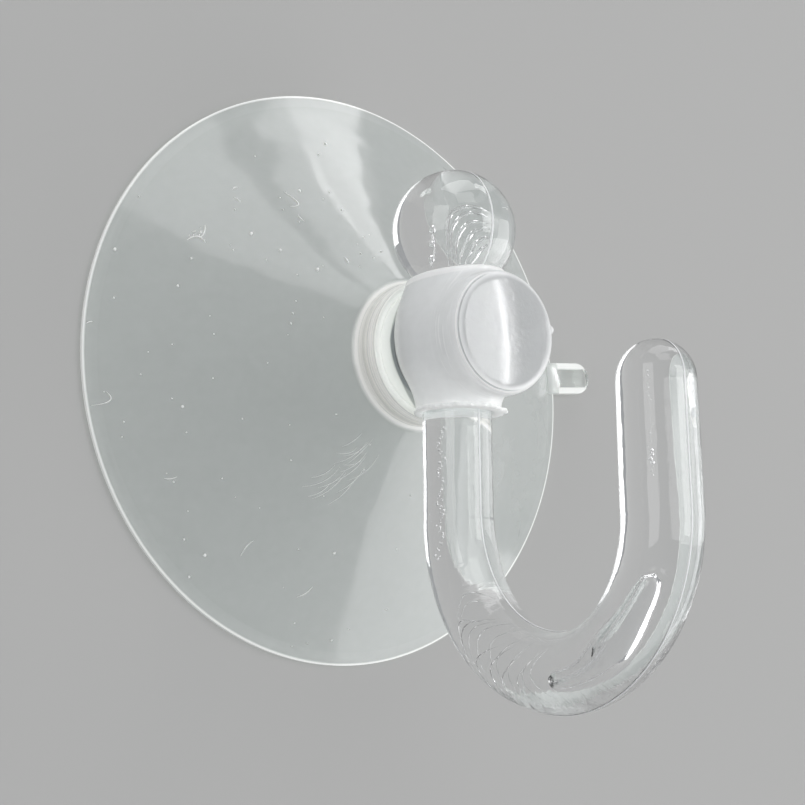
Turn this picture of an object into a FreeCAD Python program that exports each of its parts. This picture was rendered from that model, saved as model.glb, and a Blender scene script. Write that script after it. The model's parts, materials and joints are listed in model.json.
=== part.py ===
import FreeCAD, Part
import math
import os

# Suction cup hook in millimetres.
# The wall is the plane y = 0 and the cup's axis runs out of it along -Y.
# The hook hangs towards -Z and its arm stands out towards -Y.
# Depths are distances out from the wall, so a depth d lies at y = -d.

V = FreeCAD.Vector

# Driving sizes: the cup
RIM_RADIUS = 22.5          # outside of the lip that seals on the wall
LIP_WIDTH = 0.94           # flat sealing band
LIP_EDGE = 0.35            # height of the lip's outer edge
CUP_SAG = 0.45             # how far the cone's outside dips below a straight line
CUP_WALL_AT_BOSS = 2.2     # thickness along the axis where the cone meets the boss
HOLLOW_CROWN_RADIUS = 6.2  # where the hollow's cone ends and its round crown begins

# Driving sizes: the boss, the neck and the head
BOSS_DEPTH = 11.24         # depth at which the cone's outside meets the boss
BOSS_RADIUS = 5.46
BOSS_TAPER = 0.18          # loss of radius towards the front
BOSS_LENGTH = 1.86
BOSS_STEP = 0.09           # height of the fine step turned in the boss
BOSS_STEP_AT = 0.55        # how far along the boss the step stands
NECK_RADIUS = 3.45
NECK_LENGTH = 0.6
HEAD_REAR_RADIUS = 3.8
HEAD_RADIUS = 4.65
HEAD_SHOULDER = 1.5        # length of the head's rounded rear shoulder
HEAD_LENGTH = 8.55
HEAD_FRONT_TAPER = 0.04    # loss of radius along the head's side
FACE_EDGE_ROUND = 0.45     # rounding between the head's side and its face
FACE_CROWN = 0.28          # rise of the slightly domed face

# Driving sizes: the upright lug around the bore
LUG_TOP_RADIUS = 3.55
LUG_BOTTOM_RADIUS = 3.12
LUG_FORWARD = 0.2          # the lug stands this far in front of the bore's axis
LUG_TOP = 5.0              # height of the upper mouth above the cup's axis
LUG_BOTTOM = 5.2           # drop of the lower mouth below the cup's axis
MOUTH_TILT = 7.0           # degrees, the upper mouth's tilt
MOUTH_TILT_HEADING = 37.0  # degrees from +X towards -Y: where the mouth stands highest
BELLY_RADIUS = 4.5         # widest place of the rounded swelling between lug and head
BELLY_HEIGHT = 1.0         # height of that widest place above the cup's axis
BELLY_CURVE = 7.8          # radius of the swelling's upright arc
BELLY_TOP_GAP = 0.07       # the swelling ends this far below the upper mouth
BELLY_FOOT_GAP = 0.52      # and this far above the lower mouth

# Driving sizes: the pull tab on the rim
TAB_WIDTH = 2.58
TAB_REACH = 3.55           # beyond the rim
TAB_ROOT = 1.4             # inside the rim
TAB_THICKNESS = 0.9
TAB_LIFT = 0.12            # gap between the tab's back and the wall
TAB_ANGLE = 5.4            # degrees from +X towards +Z

# Driving sizes: the hook
SHANK_DEPTH = 16.01        # the hook's upright axis, out from the wall
SHANK_RADIUS = 2.55
BALL_RADIUS = 4.585
BALL_HEIGHT = 8.51
GATE_RADIUS = 0.32         # moulding gate left on the ball's top
GATE_HEIGHT = 0.12
BEND_START = 12.9          # drop from the cup's axis to where the shank begins to bend
FIRST_BEND = 12.0          # radius of the first quarter turn
SECOND_BEND = 9.8          # radius of the second quarter turn
ARM_LEAN = 1.5             # degrees, the arm's lean back towards the shank
ARM_LENGTH = 8.85          # straight part of the arm
ROD_JOIN = 1.6             # below the lower mouth, where the plain shank ends
BEND_START_GROWTH = 0.05   # the rod is this much thicker where the bend starts
LOWEST_RADIUS = 2.86       # the rod's radius at its lowest place
ARM_RADIUS = 2.82
TIP_RADIUS = 2.74

# Clearances of the moving joint
BORE_CLEARANCE = 0.05      # radial, shank in bore
SEAT_CLEARANCE = 0.05      # ball above its spherical seat

# Sizes that follow from the ones above
BORE_RADIUS = SHANK_RADIUS + BORE_CLEARANCE
SEAT_RADIUS = BALL_RADIUS + SEAT_CLEARANCE
BOSS_FRONT = BOSS_DEPTH + BOSS_LENGTH
BOSS_FRONT_RADIUS = BOSS_RADIUS - BOSS_TAPER
HEAD_REAR = BOSS_FRONT + NECK_LENGTH
HEAD_FRONT = HEAD_REAR + HEAD_LENGTH
HEAD_FRONT_RADIUS = HEAD_RADIUS - HEAD_FRONT_TAPER
FACE_RADIUS = HEAD_FRONT_RADIUS - FACE_EDGE_ROUND * 0.55
HOLLOW_MOUTH = RIM_RADIUS - LIP_WIDTH
TOOL_WIDTH = 4 * BELLY_RADIUS  # wide enough to cut everything round the head


def cut_point(radius, depth):
    """A point of the half section that is turned about the cup's axis."""
    return V(radius, -depth, 0)


def line(a, b):
    return Part.LineSegment(a, b).toShape()


def bow(a, b, sag):
    """A shallow arc from a to b whose middle stands off the straight line by sag."""
    middle = (a + b) * 0.5
    along = b - a
    side = V(-along.y, along.x, 0)
    side.normalize()
    return Part.Arc(a, middle + side * sag, b).toShape()


def hollow_depth(radius):
    """Depth of the hollow's straight cone at a radius."""
    inner_end = BOSS_DEPTH - CUP_WALL_AT_BOSS
    share = (HOLLOW_MOUTH - radius) / (HOLLOW_MOUTH - BOSS_RADIUS)
    return inner_end * share


def cap_way(edge_radius, edge_depth, rise):
    """Middle point of a cap's arc, centred on the axis so that it turns into a true sphere."""
    ball = (edge_radius ** 2 + rise ** 2) / (2 * rise)
    middle = edge_radius / 2
    return cut_point(middle, edge_depth + rise - ball + math.sqrt(ball ** 2 - middle ** 2))


def turned_body():
    """Cup, boss, neck and head as one turned solid."""
    lip_out = cut_point(RIM_RADIUS, 0)
    lip_in = cut_point(HOLLOW_MOUTH, 0)
    edge = cut_point(RIM_RADIUS, LIP_EDGE)
    cone_end = cut_point(BOSS_RADIUS, BOSS_DEPTH)
    crown_start = hollow_depth(HOLLOW_CROWN_RADIUS)
    hollow_slope = math.atan2(crown_start, HOLLOW_MOUTH - HOLLOW_CROWN_RADIUS)
    crown_rise = HOLLOW_CROWN_RADIUS * math.tan(hollow_slope / 2)
    crown_edge = cut_point(HOLLOW_CROWN_RADIUS, crown_start)
    crown_way = cap_way(HOLLOW_CROWN_RADIUS, crown_start, crown_rise)
    crown = cut_point(0, crown_start + crown_rise)

    step_low = cut_point(BOSS_RADIUS - BOSS_TAPER * 0.5, BOSS_DEPTH + BOSS_STEP_AT)
    step_high = cut_point(BOSS_RADIUS - BOSS_TAPER * 0.5 - BOSS_STEP, BOSS_DEPTH + BOSS_STEP_AT)
    boss_front = cut_point(BOSS_FRONT_RADIUS - BOSS_STEP, BOSS_FRONT)
    neck_back = cut_point(NECK_RADIUS, BOSS_FRONT)
    neck_front = cut_point(NECK_RADIUS, HEAD_REAR)

    rear = cut_point(HEAD_REAR_RADIUS, HEAD_REAR)
    shoulder = cut_point(HEAD_RADIUS, HEAD_REAR + HEAD_SHOULDER)
    shoulder_way = cut_point(
        HEAD_REAR_RADIUS + (HEAD_RADIUS - HEAD_REAR_RADIUS) * 0.66,
        HEAD_REAR + HEAD_SHOULDER * 0.42)
    side_end = cut_point(HEAD_FRONT_RADIUS, HEAD_FRONT - FACE_EDGE_ROUND - FACE_CROWN)
    face_edge = cut_point(FACE_RADIUS, HEAD_FRONT - FACE_CROWN)
    edge_way = cut_point(
        HEAD_FRONT_RADIUS - FACE_EDGE_ROUND * 0.14,
        HEAD_FRONT - FACE_CROWN - FACE_EDGE_ROUND * 0.38)
    face_middle = cut_point(0, HEAD_FRONT)
    face_way = cap_way(FACE_RADIUS, HEAD_FRONT - FACE_CROWN, FACE_CROWN)

    edges = [
        line(lip_in, lip_out),
        line(lip_out, edge),
        bow(edge, cone_end, -CUP_SAG),
        line(cone_end, step_low),
        line(step_low, step_high),
        line(step_high, boss_front),
        line(boss_front, neck_back),
        line(neck_back, neck_front),
        line(neck_front, rear),
        Part.Arc(rear, shoulder_way, shoulder).toShape(),
        line(shoulder, side_end),
        Part.Arc(side_end, edge_way, face_edge).toShape(),
        Part.Arc(face_edge, face_way, face_middle).toShape(),
        line(face_middle, crown),
        Part.Arc(crown, crown_way, crown_edge).toShape(),
        line(crown_edge, lip_in),
    ]
    half_section = Part.Face(Part.Wire(edges))
    return half_section.revolve(V(0, 0, 0), V(0, 1, 0), 360)


def everything_behind(depth):
    """A box that holds all of the lug and its swelling that lies nearer the wall than depth."""
    corner = V(-TOOL_WIDTH / 2, -depth, -TOOL_WIDTH)
    return Part.makeBox(TOOL_WIDTH, TOOL_WIDTH, 2 * TOOL_WIDTH, corner)


def mouth_lid():
    """Everything above the tilted upper mouth."""
    lid = Part.makeBox(TOOL_WIDTH, TOOL_WIDTH, TOOL_WIDTH, V(-TOOL_WIDTH / 2, -TOOL_WIDTH / 2, 0))
    heading = math.radians(MOUTH_TILT_HEADING)
    tilt_axis = V(math.sin(heading), math.cos(heading), 0)
    lid.rotate(V(0, 0, 0), tilt_axis, -MOUTH_TILT)
    lid.translate(V(0, -SHANK_DEPTH, LUG_TOP))
    return lid


def lug():
    """The upright lug that carries the bore, cut flat below and tilted at its upper mouth."""
    above = LUG_TOP + 2.0
    slope = (LUG_TOP_RADIUS - LUG_BOTTOM_RADIUS) / (LUG_TOP + LUG_BOTTOM)
    high_radius = LUG_TOP_RADIUS + slope * (above - LUG_TOP)
    foot = V(0, -SHANK_DEPTH - LUG_FORWARD, -LUG_BOTTOM)
    body = Part.makeCone(LUG_BOTTOM_RADIUS, high_radius, LUG_BOTTOM + above, foot, V(0, 0, 1))
    # nothing of the lug may stand behind the boss's front face
    return body.cut(mouth_lid()).cut(everything_behind(BOSS_FRONT))


def belly_radius(height):
    """Radius of the swelling at a height above the cup's axis."""
    return BELLY_RADIUS - BELLY_CURVE + math.sqrt(BELLY_CURVE ** 2 - (height - BELLY_HEIGHT) ** 2)


def belly():
    """The swelling that blends the lug into the head, turned about an upright axis."""
    top = V(belly_radius(LUG_TOP - BELLY_TOP_GAP), 0, LUG_TOP - BELLY_TOP_GAP)
    widest = V(belly_radius(BELLY_HEIGHT), 0, BELLY_HEIGHT)
    foot = V(belly_radius(BELLY_FOOT_GAP - LUG_BOTTOM), 0, BELLY_FOOT_GAP - LUG_BOTTOM)
    top_middle = V(0, 0, top.z)
    foot_middle = V(0, 0, foot.z)
    edges = [
        line(foot_middle, foot),
        Part.Arc(foot, widest, top).toShape(),
        line(top, top_middle),
        line(top_middle, foot_middle),
    ]
    body = Part.Face(Part.Wire(edges)).revolve(V(0, 0, 0), V(0, 0, 1), 360)
    body.translate(V(0, -SHANK_DEPTH - LUG_FORWARD, 0))
    return body.cut(everything_behind(HEAD_REAR)).cut(mouth_lid())


def pull_tab():
    """Flat tab with a half-round end, rooted on the lip."""
    half = TAB_WIDTH / 2
    start = RIM_RADIUS - TAB_ROOT
    straight = RIM_RADIUS + TAB_REACH - half
    plate = Part.makeBox(straight - start, TAB_THICKNESS, TAB_WIDTH, V(start, 0, -half))
    end = Part.makeCylinder(half, TAB_THICKNESS, V(straight, 0, 0), V(0, 1, 0))
    tab = plate.fuse(end)
    tab.translate(V(0, -TAB_LIFT - TAB_THICKNESS, 0))
    tab.rotate(V(0, 0, 0), V(0, 1, 0), -TAB_ANGLE)
    return tab


def hollow_tool():
    """The cup's hollow, taken out again where the tab's root reaches into it."""
    lip_in = cut_point(HOLLOW_MOUTH, 0)
    crown_edge = cut_point(HOLLOW_CROWN_RADIUS, hollow_depth(HOLLOW_CROWN_RADIUS))
    middle_low = cut_point(0, 0)
    middle_high = cut_point(0, hollow_depth(HOLLOW_CROWN_RADIUS))
    edges = [
        line(middle_low, lip_in),
        line(lip_in, crown_edge),
        line(crown_edge, middle_high),
        line(middle_high, middle_low),
    ]
    return Part.Face(Part.Wire(edges)).revolve(V(0, 0, 0), V(0, 1, 0), 360)


def suction_cup():
    """The soft piece: cup, boss, neck, head, lug and tab, with the hook's bore and seat."""
    body = turned_body().fuse([lug(), belly(), pull_tab()])
    deep = LUG_BOTTOM + LUG_TOP + 8.0
    bore = Part.makeCylinder(BORE_RADIUS, deep, V(0, -SHANK_DEPTH, -LUG_BOTTOM - 4.0))
    seat = Part.makeSphere(SEAT_RADIUS, V(0, -SHANK_DEPTH, BALL_HEIGHT))
    hollow = hollow_tool()
    return body.cut([bore, seat, hollow]).removeSplitter()


def rod_point(reach, height):
    """A point on the rod's centreline: reach out from the shank's axis, and height."""
    return V(0, -SHANK_DEPTH - reach, height)


def round_section(centre, way, radius):
    return Part.Wire(Part.makeCircle(radius, centre, way))


def first_turn(degrees):
    """A point of the first quarter turn."""
    angle = math.radians(degrees)
    return rod_point(FIRST_BEND * (1 - math.cos(angle)), -BEND_START - FIRST_BEND * math.sin(angle))


def second_turn(degrees):
    """A point of the second turn, which starts at the hook's lowest place."""
    angle = math.radians(degrees)
    low = -BEND_START - FIRST_BEND
    return rod_point(FIRST_BEND + SECOND_BEND * math.sin(angle), low + SECOND_BEND * (1 - math.cos(angle)))


def bent_rod():
    """The rod below the bore, swept with a thickness that grows into the second turn."""
    full_turn = 90 + ARM_LEAN
    last = math.radians(90 + full_turn)
    down = V(0, 0, -1)
    out = V(0, -1, 0)
    up = V(0, -math.sin(last), -math.cos(last))

    start = rod_point(0, -LUG_BOTTOM - ROD_JOIN)
    bend = rod_point(0, -BEND_START)
    lowest = first_turn(90)
    arm = second_turn(full_turn)
    tip = arm + up * ARM_LENGTH

    spine = Part.Wire([
        line(start, bend),
        Part.Arc(bend, first_turn(45), lowest).toShape(),
        Part.Arc(lowest, second_turn(full_turn / 2), arm).toShape(),
        line(arm, tip),
    ])
    sweep = Part.BRepOffsetAPI.MakePipeShell(spine)
    sweep.add(round_section(start, down, SHANK_RADIUS))
    sweep.add(round_section(bend, down, SHANK_RADIUS + BEND_START_GROWTH))
    sweep.add(round_section(lowest, out, LOWEST_RADIUS))
    sweep.add(round_section(arm, up, ARM_RADIUS))
    sweep.add(round_section(tip, up, TIP_RADIUS))
    sweep.build()
    sweep.makeSolid()
    return sweep.shape(), tip


def hook():
    """The hard piece: ball, shank, bend and arm."""
    rod, tip = bent_rod()
    ball = Part.makeSphere(BALL_RADIUS, V(0, -SHANK_DEPTH, BALL_HEIGHT))
    shank_foot = -LUG_BOTTOM - ROD_JOIN
    shank = Part.makeCylinder(SHANK_RADIUS, BALL_HEIGHT - shank_foot, V(0, -SHANK_DEPTH, shank_foot))
    round_tip = Part.makeSphere(TIP_RADIUS, tip)
    gate_foot = BALL_HEIGHT + BALL_RADIUS * 0.9
    gate_top = BALL_HEIGHT + BALL_RADIUS + GATE_HEIGHT
    gate = Part.makeCylinder(GATE_RADIUS, gate_top - gate_foot, V(0, -SHANK_DEPTH, gate_foot))
    return ball.fuse([shank, rod, round_tip, gate])


def save(shape, name):
    solids = shape.Solids
    print(name, "solids", len(solids), "valid", shape.isValid(), "volume", round(shape.Volume, 1), shape.BoundBox)
    solids[0].exportStep("parts/" + name + ".step")


os.makedirs("parts", exist_ok=True)

save(suction_cup(), "suction_cup")
save(hook(), "hook")
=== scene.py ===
# %% [markdown]
# A suction cup hook is two clear mouldings. A soft cup presses on a wall, and its milky head is
# bored upright for a hard hook, whose ball sits on the bore's upper mouth so that the hook can turn.
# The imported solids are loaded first, as the fixed frame that every surface here has to fit.

# %% Frame
import json
import math

import bpy
import numpy as np
import openvdb
from mathutils import Matrix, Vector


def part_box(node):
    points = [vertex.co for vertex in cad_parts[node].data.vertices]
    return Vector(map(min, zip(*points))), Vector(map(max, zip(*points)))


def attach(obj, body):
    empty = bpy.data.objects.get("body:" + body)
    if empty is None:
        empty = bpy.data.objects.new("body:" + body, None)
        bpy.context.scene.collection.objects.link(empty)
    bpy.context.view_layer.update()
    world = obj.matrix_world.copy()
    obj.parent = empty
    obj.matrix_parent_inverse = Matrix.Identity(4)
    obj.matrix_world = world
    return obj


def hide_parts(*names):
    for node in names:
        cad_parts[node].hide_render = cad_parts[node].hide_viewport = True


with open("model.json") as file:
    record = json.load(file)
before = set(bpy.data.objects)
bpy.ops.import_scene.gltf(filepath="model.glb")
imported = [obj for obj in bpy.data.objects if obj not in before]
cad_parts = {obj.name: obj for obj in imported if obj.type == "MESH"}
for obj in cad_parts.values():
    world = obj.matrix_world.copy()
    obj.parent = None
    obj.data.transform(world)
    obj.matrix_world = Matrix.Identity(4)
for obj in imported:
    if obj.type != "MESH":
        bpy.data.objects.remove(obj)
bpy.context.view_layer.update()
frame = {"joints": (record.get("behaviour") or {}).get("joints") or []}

# %% [markdown]
# All shapes below are worked out in millimetres, with the depth out from the wall as a positive
# number, and turned into metres only when a mesh is made. What the frame knows is read from it.

# %% Sizes that the frame gives
MM = 0.001
cup_low, cup_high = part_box("suction_cup")
hook_low, hook_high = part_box("hook")
SHANK_DEPTH = -frame["joints"][0]["pos_m"][1] / MM
RIM_RADIUS = cup_high.z / MM
BALL_RADIUS = hook_high.x / MM
HEAD_FRONT = -cup_low.y / MM
print("shank depth", SHANK_DEPTH, "rim", round(RIM_RADIUS, 3), "ball", round(BALL_RADIUS, 3))

# %% [markdown]
# The source's other sizes are written out here once more, because only the solids are packed.

# %% Sizes of the hook
BALL_HEIGHT = 8.51
GATE_HEIGHT = 0.115
GATE_FOOT_RADIUS = 0.36
SHANK_RADIUS = 2.55
BEND_START = 12.9
BEND_START_GROWTH = 0.03
FIRST_BEND = 12.0
SECOND_BEND = 9.8
ARM_LEAN = math.radians(1.5)
ARM_LENGTH = 8.85
LOWEST_RADIUS = 2.86
ARM_RADIUS = 2.82
TIP_RADIUS = 2.74
SEAM_HEIGHT = 0.06
SEAM_WIDTH = 0.07
POLE_RISE = 0.004

# %% Sizes of the cup
LIP_WIDTH = 0.94
LIP_EDGE = 0.35
CUP_SAG = 0.45
BOSS_RADIUS = 5.46
BOSS_DEPTH = 11.24
BOSS_LENGTH = 1.86
BOSS_TAPER = 0.18
NECK_RADIUS = 3.45
NECK_LENGTH = 0.6
HOLLOW_DEPTH = 9.04
HOLLOW_CROWN = 6.2
HOLLOW_MOUTH = RIM_RADIUS - LIP_WIDTH
HOLLOW_EDGE = HOLLOW_DEPTH * (HOLLOW_MOUTH - HOLLOW_CROWN) / (HOLLOW_MOUTH - BOSS_RADIUS)
BOSS_FRONT = BOSS_DEPTH + BOSS_LENGTH
HEAD_REAR = BOSS_FRONT + NECK_LENGTH
TOOL_PITCH = 0.21
TOOL_CUT = 0.07
FRONT_RING = 4.72
OUTSIDE_POINTS = 44

# %% Sizes of the head
HEAD_RADIUS = 4.65
HEAD_TAPER = 0.01
HEAD_SHOULDER = 2.6
FACE_DOME = 34.0
FACE_ROUND = 0.8
LUG_RADIUS = 3.34
LUG_TAPER = 0.042
LUG_FORWARD = 0.2
LUG_TOP = 5.0
LUG_BOTTOM = 5.2
MOUTH_TILT = math.radians(7)
MOUTH_HEADING = math.radians(37)
BELLY_RADIUS = 4.5
BELLY_HEIGHT = 1.0
BELLY_CURVE = 7.8
BORE_RADIUS = 2.6
SEAT_GAP = 0.05

# %% Sizes of the pull tab
TAB_HALF = 1.29
TAB_REACH = 3.55
TAB_ROOT = 1.1
TAB_THICKNESS = 0.9
TAB_EDGE = 0.16
TAB_LIFT = 0.12
TAB_ANGLE = math.radians(5.4)
TAB_START = RIM_RADIUS + TAB_REACH - TAB_HALF


# %% [markdown]
# Every surface but the head's is a grid: rows run along the piece and columns round it. One
# function joins such a grid into a closed skin, with one point at each pole, and another turns
# arrays into a mesh. A skin's volume, summed over its faces, tells if its faces point outwards.

# %% Skins from grids
def closed_skin(rows, start, end):
    """A grid (rows, columns, 3) closed round, with a pole point at each end and faces outwards."""
    count, columns = rows.shape[:2]
    points = np.vstack([rows.reshape(-1, 3), [start], [end]])
    i, j = np.meshgrid(np.arange(count - 1), np.arange(columns), indexing="ij")
    after = (j + 1) % columns
    quads = np.stack([i * columns + j, i * columns + after,
                      (i + 1) * columns + after, (i + 1) * columns + j], -1).reshape(-1, 4)
    turn = np.arange(columns)
    following = (turn + 1) % columns
    last = (count - 1) * columns
    first_fan = np.stack([following, turn, np.full(columns, count * columns)], -1)
    last_fan = np.stack([last + turn, last + following, np.full(columns, count * columns + 1)], -1)
    return points, *outward(points, quads, np.vstack([first_fan, last_fan]))


def volume_of(points, triangles):
    """Signed volume: a sixth of the sum of each triangle's triple product."""
    a, b, c = (points[triangles[:, k]] for k in range(3))
    return float(np.einsum("ij,ij->i", a, np.cross(b, c)).sum() / 6)


def outward(points, quads, fans):
    """The same faces, turned round if the skin's volume comes out negative."""
    halves = np.vstack([quads[:, [0, 1, 2]], quads[:, [0, 2, 3]], fans]) if len(quads) else fans
    if volume_of(points, halves) < 0:
        return quads[:, ::-1], fans[:, ::-1]
    return quads, fans


def join_skins(skins):
    """Several skins as one list of points and faces."""
    points, faces, base = [], [], 0
    for skin_points, quads, fans in skins:
        points.append(skin_points)
        faces += (quads + base).tolist() + (fans + base).tolist()
        base += len(skin_points)
    return np.vstack(points), faces


def put_in_scene(name, data):
    """An object of that name in the scene, with a mesh, a lamp or a camera as its data."""
    thing = bpy.data.objects.new(name, data)
    bpy.context.scene.collection.objects.link(thing)
    return thing


def make_piece(name, points, faces, scale=MM, sharp_degrees=35):
    """A smooth shaded object at the origin, from points in millimetres."""
    mesh = bpy.data.meshes.new(name)
    mesh.from_pydata((points * scale).tolist(), [], faces)
    mesh.validate()
    mesh.shade_smooth()
    mesh.set_sharp_from_angle(angle=math.radians(sharp_degrees))
    return put_in_scene(name, mesh)


# %% [markdown]
# The hook was moulded in one shot of clear, hard plastic. It could be a bevelled curve, but a curve
# has one round section and no seam. Instead a round section is carried down the ball's and the
# rod's centreline: each row has a centre, a direction and a radius, so the ball, the shank, the
# bend and the tip are one skin.

# %% Hook: centreline and radius
def ball_rows():
    """Rows down the gate stub and the ball: the height and radius of a circle about the shank."""
    top = BALL_HEIGHT + BALL_RADIUS
    gate_height = np.array([GATE_HEIGHT, 0.11, 0.085, 0.02])
    gate_radius = np.array([0.16, 0.25, 0.31, 0.33])
    first = math.asin(GATE_FOOT_RADIUS / BALL_RADIUS)
    last = math.pi - math.asin(SHANK_RADIUS / BALL_RADIUS)
    angle = np.linspace(first, last, 60)
    height = np.r_[top + gate_height, BALL_HEIGHT + BALL_RADIUS * np.cos(angle)]
    return height, np.r_[gate_radius, BALL_RADIUS * np.sin(angle)]


def hook_rows():
    """Reach and height of each row's centre, the rod's direction there, and its radius."""
    height, radius = ball_rows()
    down = np.linspace(height[-1] - 0.2, -BEND_START, 60)
    turn = np.linspace(0, math.pi / 2, 84)[1:]
    second = np.linspace(0, math.pi / 2 + ARM_LEAN, 76)[1:]
    arm = np.linspace(0, ARM_LENGTH, 26)[1:]
    cap = np.linspace(0, math.pi / 2, 24)[1:-1]
    end = second[-1]
    elbow = np.array([FIRST_BEND + SECOND_BEND * math.sin(end),
                      -BEND_START - FIRST_BEND + SECOND_BEND * (1 - math.cos(end))])
    up = np.array([math.cos(end), math.sin(end)])
    straight = len(height) + len(down)
    along = np.r_[arm, ARM_LENGTH + TIP_RADIUS * np.sin(cap)]
    reach = np.r_[np.zeros(straight), FIRST_BEND * (1 - np.cos(turn)),
                  FIRST_BEND + SECOND_BEND * np.sin(second), elbow[0] + up[0] * along]
    level = np.r_[height, down, -BEND_START - FIRST_BEND * np.sin(turn),
                  -BEND_START - FIRST_BEND + SECOND_BEND * (1 - np.cos(second)),
                  elbow[1] + up[1] * along]
    way_out = np.r_[np.zeros(straight), np.sin(turn), np.cos(second), np.full(len(along), up[0])]
    way_up = np.r_[-np.ones(straight), -np.cos(turn), np.sin(second), np.full(len(along), up[1])]
    thick = np.r_[radius, np.full(len(down), SHANK_RADIUS),
                  np.interp(turn, [0, math.pi / 2], [SHANK_RADIUS + BEND_START_GROWTH, LOWEST_RADIUS]),
                  np.interp(second, [0, end], [LOWEST_RADIUS, ARM_RADIUS]),
                  np.interp(arm, [0, ARM_LENGTH], [ARM_RADIUS, TIP_RADIUS]), TIP_RADIUS * np.cos(cap)]
    return reach, level, way_out, way_up, thick


def carried(reach, level, way_out, way_up, radius, around):
    """Points of a round section carried along the rows, each section square to its row's way."""
    across = np.cos(around)[None, :] * radius
    outward_part = np.sin(around)[None, :] * radius
    depth = SHANK_DEPTH + reach[:, None] - way_up[:, None] * outward_part
    height = level[:, None] + way_out[:, None] * outward_part
    return np.stack([across, -depth, height], -1)


# %% [markdown]
# The two halves of the mould met in the hook's own plane and left a fine seam all round it. The
# columns are set closer there, so that the seam is a real ridge in the mesh. The wall of the rod
# also has the faint waves of a thick moulding that shrank as it cooled.

# %% Hook: skin with the mould seam
def seam_columns(base=96, close=13, band=0.055, clear=0.065):
    """Angles round the section, evenly spread, with extra ones in a band at the two seams."""
    even = np.linspace(0, 2 * math.pi, base, endpoint=False)
    near = np.linspace(-band, band, close)
    seams = np.r_[near + math.pi / 2, near + 3 * math.pi / 2]
    far = np.abs((even[:, None] - np.array([[math.pi / 2, 3 * math.pi / 2]]))).min(1) > clear
    return np.sort(np.r_[even[far], seams])


def seam_ridge(around, radius):
    """Height of the seam: a bell curve of the distance round the section from either seam."""
    away = np.abs(np.abs(np.sin(around))[None, :] - 1.0)
    distance = np.sqrt(2 * away) * radius
    full = np.clip(radius / 1.5, 0, 1)
    return SEAM_HEIGHT * full * np.exp(-(distance / SEAM_WIDTH) ** 2)


reach, level, way_out, way_up, thick = hook_rows()
around = seam_columns()
radius = thick[:, None] + seam_ridge(around, thick[:, None])
hook_grid = carried(reach, level, way_out, way_up, radius, around)
tip_end = hook_grid[-1].mean(0) + np.array([0, -way_out[-1], way_up[-1]]) * POLE_RISE
gate_end = np.array([0, -SHANK_DEPTH, BALL_HEIGHT + BALL_RADIUS + GATE_HEIGHT])
hook_skin = closed_skin(hook_grid, gate_end, tip_end)
print("hook grid", hook_grid.shape[:2], "seam", SEAM_HEIGHT, "mm high")


# %% [markdown]
# A thick moulding shrinks inwards and leaves a void in its middle. Light bends at the void's wall,
# which is why the bend shows a bright hairpin. The void is a second closed skin inside the first,
# and its faces point into the void, away from the plastic. Bubbles and folds are made the same way:
# each is a tube round a short path.

# %% Hook: tubes and hollows
def tube_skin(path, widths, sides=20, pole=0.4):
    """A closed skin round a path of points: rings square to the path, each of its own width."""
    way = np.gradient(path, axis=0)
    way /= np.linalg.norm(way, axis=1, keepdims=True)
    first = np.cross(way, [1.0, 0.02, 0.03])
    first /= np.linalg.norm(first, axis=1, keepdims=True)
    second = np.cross(way, first)
    turn = np.linspace(0, 2 * math.pi, sides, endpoint=False)
    ring = np.cos(turn)[None, :, None] * first[:, None] + np.sin(turn)[None, :, None] * second[:, None]
    grid = path[:, None] + ring * widths[:, None, None]
    start = path[0] - way[0] * widths[0] * pole
    end = path[-1] + way[-1] * widths[-1] * pole
    return closed_skin(grid, start, end)


def hollow_skin(skin):
    """A skin whose faces point inwards, as the wall of a hollow inside a solid does."""
    points, quads, fans = skin
    return points, quads[:, ::-1], fans[:, ::-1]


def curve_through(start, middle, end, count):
    """A curve from start to end that is drawn towards middle: a second degree Bezier curve."""
    t = np.linspace(0, 1, count)[:, None]
    return (1 - t) ** 2 * np.array(start) + 2 * t * (1 - t) * np.array(middle) + t ** 2 * np.array(end)


def in_hook_plane(side, reach_out, height):
    """A point given by its sideways place, its reach beyond the shank and its height."""
    return np.array([side, -SHANK_DEPTH - reach_out, height])


# %% [markdown]
# The void lies in the hook's own plane, in the second half of the bend, where the rod is thickest.

# %% Hook: the void in the bend
VOID_START = in_hook_plane(0.1, 11.2, -25.1)
VOID_MIDDLE = in_hook_plane(0.0, 17.1, -25.3)
VOID_END = in_hook_plane(0.0, 20.95, -18.8)
VOID_ROWS = 60


def bend_void():
    """The shrinkage void: a tube that widens a little along its path and swells past its middle."""
    path = curve_through(VOID_START, VOID_MIDDLE, VOID_END, VOID_ROWS)
    t = np.linspace(0, 1, VOID_ROWS)
    swell = np.exp(-((t - 0.55) / 0.24) ** 2)
    blunt = np.sqrt(np.clip(1 - np.abs(2 * t - 1) ** 11, 0.004, 1))
    return hollow_skin(tube_skin(path, (0.40 + 0.24 * t + 0.36 * swell) * blunt, 48))


# %% [markdown]
# Air that came in with the plastic stayed as strings of small bubbles. Their sizes and places come
# from a fixed random draw.

# %% Hook: bubbles
BALL_BUBBLES = 11
SHANK_BUBBLES = 64
ARM_BUBBLES = 26


def bubble(place, size):
    """A small round bubble with a slight length upwards."""
    t = np.linspace(-0.97, 0.97, 9)
    path = np.array(place) + np.stack([0 * t, 0 * t, t * size * 1.25], -1)
    return hollow_skin(tube_skin(path, size * np.sqrt(1 - t ** 2), 12))


def in_ball(across, up):
    """A point of the upright plane through the ball's centre that faces the camera."""
    return np.array([0.8 * across, -SHANK_DEPTH - 0.6 * across, BALL_HEIGHT + up])


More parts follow.
